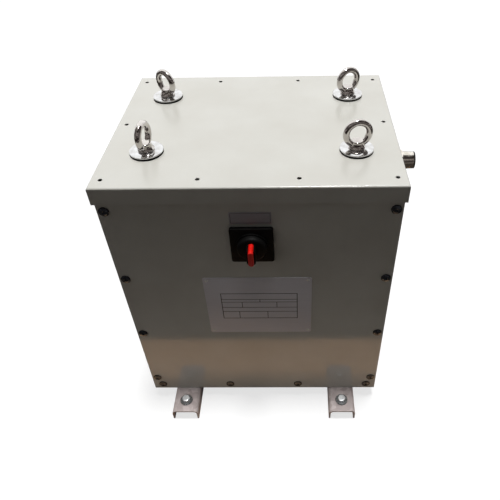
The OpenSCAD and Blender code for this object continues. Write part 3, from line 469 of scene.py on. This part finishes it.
def socket_screw():
    """Flanged screw with a low dome and a hexagon socket."""
    shape = bmesh.new()
    shank = thread(SCREW_THREAD, SCREW_PITCH, SCREW_END, SCREW_NECK)
    spun(shape, [*shank, *SCREW_HEAD], TURN_STEPS)
    mouth = [edge for edge in shape.edges if edge.is_boundary]
    corners = bmesh.ops.create_circle(
        shape, segments=6, radius=SOCKET_ACROSS / 2 / math.cos(math.radians(30)),
        matrix=Matrix.Translation((0, 0, -SOCKET_CHAMFER)),
    )["verts"]
    sides = list({edge for corner in corners for edge in corner.link_edges})
    sides = of_kind(bmesh.ops.subdivide_edges(
        shape, edges=sides, cuts=TURN_STEPS // 6 - 1,
    )["geom"], bmesh.types.BMEdge)
    bmesh.ops.bridge_loops(shape, edges=mouth + sides)
    wall = bmesh.ops.extrude_edge_only(shape, edges=sides)["geom"]
    bmesh.ops.translate(shape, vec=(0, 0, SOCKET_CHAMFER - SOCKET_DEEP), verts=of_kind(wall))
    bmesh.ops.edgeloop_fill(shape, edges=of_kind(wall, bmesh.types.BMEdge))
    bmesh.ops.recalc_face_normals(shape, faces=shape.faces)
    return shape


def solids(node):
    """Lowest and highest corner of each separate solid of a CAD node."""
    shape = bmesh.new()
    shape.from_mesh(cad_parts[node].data)
    bmesh.ops.remove_doubles(shape, verts=shape.verts, dist=TOUCHING * MM)
    shape.verts.ensure_lookup_table()
    waiting, found = set(shape.verts), []
    for first in shape.verts:
        if first not in waiting:
            continue
        waiting.remove(first)
        solid = [first]
        for vertex in solid:
            for edge in vertex.link_edges:
                other = edge.other_vert(vertex)
                if other in waiting:
                    waiting.remove(other)
                    solid.append(other)
        found.append(tuple(
            Vector([end(vertex.co[axis] for vertex in solid) for axis in range(3)])
            for end in (min, max)
        ))
    shape.free()
    return found


def outer_end(low, high, turn):
    """Place, in the middle of a box's outer end, of what is drawn downwards in millimetres."""
    out = turn.to_3x3() @ Vector((0, 0, 1))
    middle = (low + high) / 2
    return (
        Matrix.Translation(middle + out * abs(out.dot(high - low)) / 2) @ turn @ Matrix.Scale(MM, 4)
    )


def copied(shape, places):
    """Sets one copy of what is drawn at each place."""
    drawn = shape.verts[:] + shape.edges[:] + shape.faces[:]
    for where in places:
        copy = bmesh.ops.duplicate(shape, geom=drawn)["geom"]
        bmesh.ops.transform(shape, matrix=where, verts=of_kind(copy))
    bmesh.ops.delete(shape, geom=of_kind(drawn), context="VERTS")
    return shape


def fitted(name, shape, material, slot, body, *nodes):
    """Makes a piece that rides on a body and stands for CAD nodes."""
    piece = mesh_piece(name, shape, material)
    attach(piece, body)
    if nodes:
        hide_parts(*nodes)
    return piece


zinc = mottled(
    "zinc_steel", (216, 219, 221), (240, 243, 244), clouds=(160, 3), rough=(0.3, 0.42),
    wear=(600, 2), grain=(1400, 1), relief=0.02, Metallic=0.55,
)
dress(
    zinc, "rail_bolts", "rail_nuts", "lid_nuts", "panel_nuts", "clamp_bolts", "clamp_nuts",
    "lifting_posts", "post_nuts", "switch_shaft", "terminal_rail", "plate_rivets",
)

# A darker copy of the zinc: its colour is a painted shade, and its mirror shows the dark front.
washer_zinc_painted_shade = mottled(
    "washer_zinc_painted_shade", (150, 153, 155), (184, 187, 189), clouds=(160, 3), rough=(0.2, 0.32),
    wear=(600, 2), grain=(1400, 1), relief=0.02, Metallic=1.0,
)
dress(washer_zinc_painted_shade, "rail_washers", "post_washers")

# Stainless steel drawn much darker than its own colour, a painted shade on the screw heads.
stainless_painted_dark = mottled(
    "stainless_painted_shade", (72, 79, 88), (98, 105, 114), clouds=(200, 3), rough=(0.2, 0.32),
    wear=(700, 2), grain=(1600, 1), relief=0.015, Metallic=1.0,
)
dress(stainless_painted_dark, "front_panel_screws", "rear_panel_screws")

seal_rubber = mottled(
    "seal_rubber", (12, 11, 11), (22, 20, 19), clouds=(300, 3), rough=(0.55, 0.7), wear=(500, 2),
    Specular_IOR_Level=0.2,
)

for node, turn, kind in (("rail_bolts", UP, RAIL_BOLT), ("clamp_bolts", TO_FRONT, CLAMP_BOLT)):
    boxes = solids(node)
    out = turn.to_3x3() @ Vector((0, 0, 1))
    length = abs(out.dot(boxes[0][1] - boxes[0][0])) / MM
    shape = copied(bolt(length=length, **kind), [outer_end(*box, turn) for box in boxes])
    fitted(node + "_made", shape, zinc, "zinc_steel", "cabinet", node)

for node, diameter in NUT_THREADS.items():
    boxes = solids(node)
    size = sorted((boxes[0][1] - boxes[0][0]) / MM)
    turn = TO_FRONT if node in ("panel_nuts", "clamp_nuts") else UP
    shape = copied(nut(size[1], size[0], diameter), [outer_end(*box, turn) for box in boxes])
    fitted(node + "_made", shape, zinc, "zinc_steel", "cabinet", node)

for node, hole in WASHER_HOLES.items():
    boxes = solids(node)
    size = (boxes[0][1] - boxes[0][0]) / MM
    shape = copied(washer(size.x, hole, size.z), [outer_end(*box, UP) for box in boxes])
    fitted(node + "_made", shape, washer_zinc_painted_shade, "zinc_steel", "cabinet", node)

for node, turn in (("front_panel_screws", TO_FRONT), ("rear_panel_screws", TO_REAR)):
    places = [outer_end(*box, turn) for box in solids(node)]
    screws = copied(socket_screw(), places)
    fitted(node + "_made", screws, stainless_painted_dark, "bright_steel", "cabinet", node)
    shape = bmesh.new()
    spun(shape, SEAL_RING, TURN_STEPS, close=True)
    fitted(node + "_seals", copied(shape, places), seal_rubber, "black_rubber", "cabinet")

# Rubber: the dampers under the clamps' feet, the lid's gasket, the seals under the eye discs and
# the gland's washer and sleeve are black rubber, dull and slightly dusty.
rubber = mottled(
    "black_rubber", (11, 11, 11), (24, 23, 23), clouds=(90, 4), rough=(0.55, 0.72),
    wear=(300, 2), grain=(1800, 2), relief=0.03, Specular_IOR_Level=0.25,
)
dress(rubber, "dampers", "lid_gasket", "eye_seals", "gland_washer", "gland_insert")

# Core: a stack of thin silicon-steel sheets seen on edge at the top and the ends, held between
# painted clamp angles by bolts in insulating tubes.
SHEET_LINES, SHEET_STRETCH = 900, (0.01, 1, 0.01)
SHEET_DARK, SHEET_LIGHT = (58, 55, 53), (104, 100, 96)
SHEET_RELIEF = 0.15

core_steel, tree, shader, place = start_finish("core_steel", Metallic=0.6)
lines = noise(tree, place, SHEET_LINES, 2, SHEET_STRETCH)
set_colour(tree, shader, spread(tree, lines, 0, 1), SHEET_DARK, SHEET_LIGHT)
set_roughness(tree, shader, spread(tree, noise(tree, place, 60, 3), 0.38, 0.58))
bump(tree, shader, lines, SHEET_RELIEF * MM)
dress(core_steel, "core")

clamp_paint = mottled(
    "clamp_steel", (62, 64, 68), (78, 80, 84), clouds=(30, 4), rough=(0.35, 0.5), wear=(200, 2),
    grain=(500, 2), relief=0.06,
)
dress(clamp_paint, "lower_clamps", "upper_clamps")

tube_board, tree, shader, place = start_finish("insulating_tube")
fibres = noise(tree, place, 300, 2, (1, 0.1, 1))
set_colour(tree, shader, fibres, (112, 72, 38), (150, 104, 60))
set_roughness(tree, shader, spread(tree, noise(tree, place, 200, 2), 0.4, 0.55))
dress(tube_board, "clamp_tubes")

# Coils: each limb carries a pressed-board bobbin with the inner and the outer winding on it,
# varnished copper wire laid turn on turn.
WIRE_TURNS, WIRE_RELIEF = 420, 0.5

bobbin_board, tree, shader, place = start_finish("bobbin_board")
set_colour(tree, shader, noise(tree, place, 220, 5), (186, 160, 112), (214, 192, 148))
set_roughness(tree, shader, spread(tree, noise(tree, place, 300, 2), 0.6, 0.8))
bump(tree, shader, noise(tree, place, 900, 3), 0.05 * MM)
dress(bobbin_board, "bobbins")

winding, tree, shader, place = start_finish("winding", Metallic=0.55, Coat_Weight=0.6)
turns = add(tree, "TexWave", {
    "Vector": place, "Scale": WIRE_TURNS / math.tau, "Distortion": 0.4, "Detail": 1.0,
}, bands_direction="Z").outputs["Fac"]
set_colour(tree, shader, turns, (96, 44, 20), (190, 110, 60))
set_roughness(tree, shader, spread(tree, noise(tree, place, 200, 2), 0.25, 0.4))
bump(tree, shader, turns, WIRE_RELIEF * MM)
dress(winding, "inner_windings", "outer_windings")

# Terminals: grey moulded blocks on a steel rail, with the leads of the coils in black and those
# of the switch in brown.
grey_plastic = mottled(
    "grey_plastic", (140, 140, 136), (156, 156, 151), clouds=(60, 3), rough=(0.4, 0.52),
    wear=(400, 2), grain=(2200, 1), relief=0.02,
)
dress(grey_plastic, "terminals", "end_stops", "switch_body")
for name, dark, light, node in (
    ("lead_black", (20, 20, 21), (32, 32, 33), "winding_leads"),
    ("lead_brown", (88, 48, 28), (104, 60, 36), "switch_leads"),
):
    sleeve = mottled(
        name, dark, light, clouds=(120, 3), rough=(0.35, 0.5), wear=(500, 2), grain=(1500, 1),
        relief=0.02,
    )
    dress(sleeve, node)

# Main switch: a square black front plate with bevelled edges, and on it a round hub whose grip
# is a red crest between two thin black cheeks. All are moulded plastic with a fine grain.
PLATE_SIDE, PLATE_CORNER, PLATE_THICK, PLATE_EDGE = 65, 4, 6, 0.7
PLATE_BEHIND_RING = 2
COLLAR_RING = ((22.3, 0), (24.1, 0), (24.4, -0.4), (24.4, -2.2), (22.3, -2.2))
SPIGOT = ((3.3, -3), (11, -3), (11, -9.5), (3.3, -9.5))
HUB = (
    (0, -26.7), (21.6, -26.7), (22, -26.3), (22, -19.6), (21.7, -18.6), (20.6, -17.2),
    (19.4, -16.3), (18.4, -16), (0, -16),
)
GRIP_WIDE, GRIP_LONG, GRIP_TALL, GRIP_CORNER, GRIP_EDGE = 13.5, 28, 18, 4.6, 0.9
CREST_WIDE, CREST_TALL, CREST_CORNER, CREST_EDGE = 8.2, 24, 4.0, 1.6
CORNER_STEPS, EDGE_STEPS = 8, 4


def slab(width, height, corner, thickness, edge):
    """Block with round corners that hangs down from z = 0, the edge of its top face rounded."""
    shape = bmesh.new()
    bmesh.ops.create_grid(shape, x_segments=1, y_segments=1, size=0.5)
    bmesh.ops.scale(shape, vec=(width, height, 1), verts=shape.verts)
    bmesh.ops.bevel(
        shape, geom=shape.verts[:], offset=corner, affect="VERTICES", segments=CORNER_STEPS,
        profile=0.5, material=-1,
    )
    sunk = bmesh.ops.extrude_face_region(shape, geom=shape.faces[:])["geom"]
    bmesh.ops.translate(shape, vec=(0, 0, -thickness), verts=of_kind(sunk))
    rim = [e for e in shape.edges if all(vertex.co.z > -edge for vertex in e.verts)]
    bmesh.ops.bevel(
        shape, geom=rim, offset=edge, affect="EDGES", segments=EDGE_STEPS, profile=0.5,
        material=-1,
    )
    bmesh.ops.recalc_face_normals(shape, faces=shape.faces)
    return shape


def joined(*shapes):
    """Puts several shapes together in one."""
    whole = bmesh.new()
    for shape in shapes:
        part = bpy.data.meshes.new("part")
        shape.to_mesh(part)
        shape.free()
        whole.from_mesh(part)
        bpy.data.meshes.remove(part)
    return whole


def set_at(shape, where):
    """Sets what is drawn at its place."""
    bmesh.ops.transform(shape, matrix=where, verts=shape.verts)
    return shape


black_plastic = mottled(
    "black_plastic", (7, 7, 7), (12, 12, 12), clouds=(80, 3), rough=(0.5, 0.62), wear=(500, 2),
    grain=(2400, 1), relief=0.03, Specular_IOR_Level=0.12,
)
dress(black_plastic, "switch_plate", "switch_handle")

red_plastic = mottled(
    "red_plastic", (214, 16, 10), (234, 26, 16), clouds=(80, 3), rough=(0.26, 0.36),
    wear=(500, 2), grain=(2400, 1), relief=0.02,
)
dress(red_plastic, "switch_crest")

plate = slab(PLATE_SIDE, PLATE_SIDE, PLATE_CORNER, PLATE_THICK, PLATE_EDGE)
bmesh.ops.translate(plate, vec=(0, 0, -PLATE_BEHIND_RING), verts=plate.verts)
ring = bmesh.new()
spun(ring, COLLAR_RING, 2 * TURN_STEPS, close=True)
spigot = bmesh.new()
spun(spigot, SPIGOT, TURN_STEPS, close=True)
where = outer_end(*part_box("switch_plate"), TO_FRONT)
fitted(
    "front_plate", set_at(joined(plate, ring, spigot), where), black_plastic, "black_plastic",
    "cabinet", "switch_plate",
)

hub = bmesh.new()
spun(hub, HUB, 2 * TURN_STEPS)
cheeks = []
for side in (-1, 1):
    cheek = slab(GRIP_WIDE, GRIP_LONG, GRIP_CORNER, GRIP_TALL, GRIP_EDGE)
    inwards = Vector((-side, 0, 0))
    cut_off(cheek, -inwards * CREST_WIDE / 2, inwards)
    cheeks.append(cheek)
where = outer_end(*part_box("switch_handle"), TO_FRONT)
fitted(
    "handle", set_at(joined(hub, *cheeks), where), black_plastic, "black_plastic", "switch_handle",
    "switch_handle",
)
crest = slab(CREST_WIDE, GRIP_LONG, CREST_CORNER, CREST_TALL, CREST_EDGE)
where = outer_end(*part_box("switch_crest"), TO_FRONT)
fitted("crest", set_at(crest, where), red_plastic, "red_plastic", "switch_handle", "switch_crest")

# Plates: a grey film label with a thin border over the switch, and under it a larger rating plate
# of pale foil with an empty ruled form, held by four rivets. Each line is given by its middle, its
# width and its height in millimetres, from the middle of the plate.
PLATE_SHEET, PLATE_BLUNT = 0.8, 0.1
LABEL_SIZE, LABEL_CORNER = (61.5, 21), 1
RATING_SIZE, RATING_CORNER = (176, 136), 4
BRUSH_STRETCH = (0.05, 1, 1)
INK = (44, 42, 46)
LABEL_LINES = ((0, 8.7, 58, 0.5), (0, -8.7, 58, 0.5), (-28.9, 0, 0.5, 17.6), (28.9, 0, 0.5, 17.6))
RATING_LINES = (
    (1, 31, 126, 1.2), (1, 17, 126, 1), (1, 10.6, 126, 1), (1, -2.6, 126, 1), (1, -13, 126, 1),
    (1, -30, 126, 1.2), (-62, 0.5, 1.2, 62.2), (64, 0.5, 1.2, 62.2), (2, 13.8, 1, 6.4),
    (-28, 4, 1, 13.2), (30, 4, 1, 13.2), (-34, -21.5, 1, 17), (14, -21.5, 1, 17),
)


def printed(tree, place, middle, lines):
    """1 on the lines of a plate that stands upright and faces the front, and 0 beside them."""
    there = add(tree, "Mapping", {"Vector": place, "Location": -middle}).outputs[0]
    axes = add(tree, "SeparateXYZ", {"Vector": there}).outputs
    ink = 0.0
    for x, z, width, height in lines:
        across, upright = (
            add(
                tree, "Math", {0: axes[axis], 1: centre * MM, 2: size / 2 * MM},
                operation="COMPARE",
            ).outputs[0]
            for axis, centre, size in (("X", x, width), ("Z", z, height))
        )
        line = add(tree, "Math", {0: across, 1: upright}, operation="MULTIPLY").outputs[0]
        ink = add(tree, "Math", {0: ink, 1: line}, operation="MAXIMUM").outputs[0]
    return ink


def plate_finish(name, node, low, high, lines):
    """Brushed sheet with its printed lines, for one of the plates."""
    made, tree, shader, place = start_finish(name, Specular_IOR_Level=0.3)
    brushed = noise(tree, place, 700, 2, BRUSH_STRETCH)
    bare = mixed(tree, brushed, tone(*low), tone(*high))
    ink = printed(tree, place, sum(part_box(node), Vector()) / 2, lines)
    tree.links.new(mixed(tree, ink, bare, tone(*INK)), shader.inputs["Base Color"])
    set_roughness(tree, shader, spread(tree, noise(tree, place, 900, 2, BRUSH_STRETCH), 0.3, 0.42))
    dress(made, node)
    return made


label_film = plate_finish(
    "label_film", "label_plate", (166, 162, 167), (180, 176, 181), LABEL_LINES,
)
foil = plate_finish("label_foil", "rating_plate", (216, 213, 219), (228, 225, 231), RATING_LINES)
for name, node, size, corner, material in (
    ("switch_label", "label_plate", LABEL_SIZE, LABEL_CORNER, label_film),
    ("form_plate", "rating_plate", RATING_SIZE, RATING_CORNER, foil),
):
    where = outer_end(*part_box(node), TO_FRONT)
    shape = set_at(slab(*size, corner, PLATE_SHEET, PLATE_BLUNT), where)
    fitted(name, shape, material, "label_foil", "cabinet", node)

# Cable gland: nickel-plated brass on a black washer. The body has a short hexagon, and the nut a
# longer one and a smooth domed end that presses a black rubber sleeve round the cable.
GLAND_ACROSS = 29
GLAND_TURN = 10
GLAND_THREAD = 25
GLAND_WASHER = ((12.6, -33), (18.4, -33), (18.8, -33.4), (18.8, -36.6), (18.4, -37), (12.6, -37))
GLAND_BODY = (
    (7.6, -4.7), (11.3, -4.7), (11.5, -5), (11.5, -27.5), (14, -27.5), (17, -28.3), (17, -32.2),
    (14, -33), (12.5, -33), (12.5, -48.4), (12, -49), (7.6, -49),
)
GLAND_NUT = (
    (7.8, -2), (12.9, -2), (13.2, -2.2), (13.35, -2.8), (13.5, -8), (13.9, -14.8), (14.0, -15.6),
    (14.2, -19.8), (17, -20.6), (17, -25.5), (14, -26.5), (11.8, -26.5), (11.8, -6), (7.8, -6),
)
GLAND_SLEEVE = (
    (6.1, -0.6), (6.7, 0), (12.7, 0), (13.3, -0.4), (13.45, -0.9), (13.45, -2), (7.4, -2),
    (7.4, -24), (6.1, -24),
)

nickel = mottled(
    "nickel_brass", (206, 200, 188), (232, 228, 220), clouds=(200, 3), rough=(0.1, 0.18),
    wear=(500, 2), grain=(1500, 1), relief=0.02, Metallic=1.0,
)
dress(nickel, "gland_body", "gland_nut", "gland_locknut", "switch_contacts", "earth_stud")

gland_end = outer_end(*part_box("gland_insert"), TO_RIGHT)
for name, outline, across, material, slot, node in (
    ("gland_seal", GLAND_WASHER, 0, rubber, "black_rubber", "gland_washer"),
    ("gland_core", GLAND_BODY, GLAND_ACROSS, nickel, "nickel_brass", "gland_body"),
    ("gland_cap", GLAND_NUT, GLAND_ACROSS, nickel, "nickel_brass", "gland_nut"),
    ("gland_sleeve", GLAND_SLEEVE, 0, rubber, "black_rubber", "gland_insert"),
):
    shape = bmesh.new()
    spun(shape, outline, 2 * TURN_STEPS, close=True)
    if across:
        hexed(shape, across, GLAND_TURN)
    fitted(name, set_at(shape, gland_end), material, slot, "cabinet", node)
low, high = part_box("gland_locknut")
size = (high - low) / MM
shape = set_at(nut(GLAND_ACROSS, size.x, GLAND_THREAD), outer_end(low, high, TO_RIGHT))
fitted("gland_backnut", shape, nickel, "nickel_brass", "cabinet", "gland_locknut")

# Discs: under each lifting eye lies a thin turned steel disc, nearly a mirror, with faint rings
# from the lathe, on a black rubber seal of the same size.
DISC_OUTLINE = (
    (5.3, 0), (13.4, 0), (13.6, -0.15), (14.1, -0.15), (14.3, 0), (24.6, 0), (25.05, -0.15),
    (25.25, -0.5), (25.25, -1.5), (24.9, -2), (5.3, -2),
)
DISC_SEAL = ((5.3, 0), (24.9, 0), (25.25, -0.4), (25.25, -2.6), (24.9, -3), (5.3, -3))
DISC_DARK, DISC_LIGHT = (200, 199, 198), (226, 227, 228)
LATHE_RINGS, LATHE_RELIEF = 1300, 0.004

polished = mottled(
    "bright_steel", (188, 182, 178), (216, 212, 208), clouds=(70, 3), rough=(0.06, 0.12),
    wear=(400, 2), Metallic=1.0,
)
dress(polished, "eye_discs")

for number, (low, high) in enumerate(solids("eye_discs")):
    turned, tree, shader, place = start_finish(f"turned_disc_{number}", Metallic=1.0)
    centred = add(tree, "Mapping", {"Vector": place, "Location": -(low + high) / 2}).outputs[0]
    rings = add(tree, "TexWave", {
        "Vector": centred, "Scale": LATHE_RINGS / math.tau, "Distortion": 0.0,
    }, wave_type="RINGS", rings_direction="Z").outputs["Fac"]
    clouds = spread(tree, noise(tree, place, 90, 3), 0, 1)
    set_colour(tree, shader, clouds, DISC_DARK, DISC_LIGHT)
    set_roughness(tree, shader, spread(tree, noise(tree, place, 300, 2), 0.07, 0.14))
    bump(tree, shader, rings, LATHE_RELIEF * MM)
    shape = bmesh.new()
    spun(shape, DISC_OUTLINE, 3 * TURN_STEPS, close=True)
    shape = set_at(shape, outer_end(low, high, UP))
    piece = fitted(f"disc_{number}", shape, turned, "bright_steel", "lid")
    if number == 0:
        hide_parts("eye_discs")
shape = bmesh.new()
spun(shape, DISC_SEAL, 3 * TURN_STEPS, close=True)
shape = copied(shape, [outer_end(*box, UP) for box in solids("eye_seals")])
fitted("disc_seals", shape, rubber, "black_rubber", "lid", "eye_seals")

# Lifting eyes: forged rings that run down through a flared saddle into a round collar, polished
# all over, each with an M10 thread that passes through the lid into its post. They were tightened
# by hand, so each ring is turned its own way.
RING_D, ROD_D, EYE_THREAD_D, EYE_PITCH = 45.0, 10.0, 10.0, 1.5
COLLAR_OUTLINE = (
    (0, 0), (11.9, 0), (12.5, 0.6), (12.5, 2.4), (11.3, 4), (10.3, 6), (9.6, 8.5), (9.2, 11),
    (8.9, 11.7), (8.2, 12), (7.4, 11.8), (5, 11.3), (0, 11),
)
RING_STEPS, ROD_STEPS = 96, 32
RING_VOXEL, RING_SMOOTHING = 0.4, 6
EYE_TURNS = {"front_left": 80, "front_right": 12, "back_left": -40, "back_right": 30}


def forged(name, shape, material, voxel, smoothing):
    """Melts overlapping solids into one skin with soft inner corners, as in a forging."""
    rough = mesh_piece(name + "_rough", shape, material)
    remesh = rough.modifiers.new("remesh", "REMESH")
    remesh.mode = "VOXEL"
    remesh.voxel_size = voxel * MM
    remesh.use_smooth_shade = True
    smooth = rough.modifiers.new("smooth", "SMOOTH")
    smooth.iterations = smoothing
    graph = bpy.context.evaluated_depsgraph_get()
    mesh = bpy.data.meshes.new_from_object(rough.evaluated_get(graph))
    mesh.name = name
    bpy.data.objects.remove(rough)
    piece = bpy.data.objects.new(name, mesh)
    bpy.context.scene.collection.objects.link(piece)
    return piece


def eyebolt(corner, turn):
    """Draws the ring with its collar, and the thread below, of the eye at one corner."""
    node = "eyebolt_" + corner
    low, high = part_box(node)
    seat = outer_end(low, high, UP) @ Matrix.Translation((0, 0, -RING_D))
    turned = seat @ Matrix.Rotation(math.radians(turn), 4, "Z")

    shape = bmesh.new()
    spun(shape, COLLAR_OUTLINE, 2 * TURN_STEPS)
    ring_centre = Vector((0, 0, RING_D / 2))
    rod_start = ring_centre + Vector(((RING_D - ROD_D) / 2, 0, 0))
    rod = bmesh.ops.create_circle(
        shape, segments=ROD_STEPS, radius=ROD_D / 2, matrix=Matrix.Translation(rod_start)
    )["verts"]
    rod_edges = list({edge for vertex in rod for edge in vertex.link_edges})
    bmesh.ops.spin(
        shape, geom=rod + rod_edges, axis=(0, 1, 0), cent=ring_centre, angle=math.tau,
        steps=RING_STEPS, use_merge=True,
    )
    bmesh.ops.recalc_face_normals(shape, faces=shape.faces)
    ring = forged("ring_" + corner, set_at(shape, turned), polished, RING_VOXEL, RING_SMOOTHING)
    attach(ring, node)
    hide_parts(node)

    shape = bmesh.new()
    length = (high.z - low.z) / MM - RING_D
    spun(shape, [*thread(EYE_THREAD_D, EYE_PITCH, -length, 0), (0, 0)], TURN_STEPS)
    fitted("thread_" + corner, set_at(shape, turned), zinc, "bright_steel", node)


for corner, turn in EYE_TURNS.items():
    eyebolt(corner, turn)
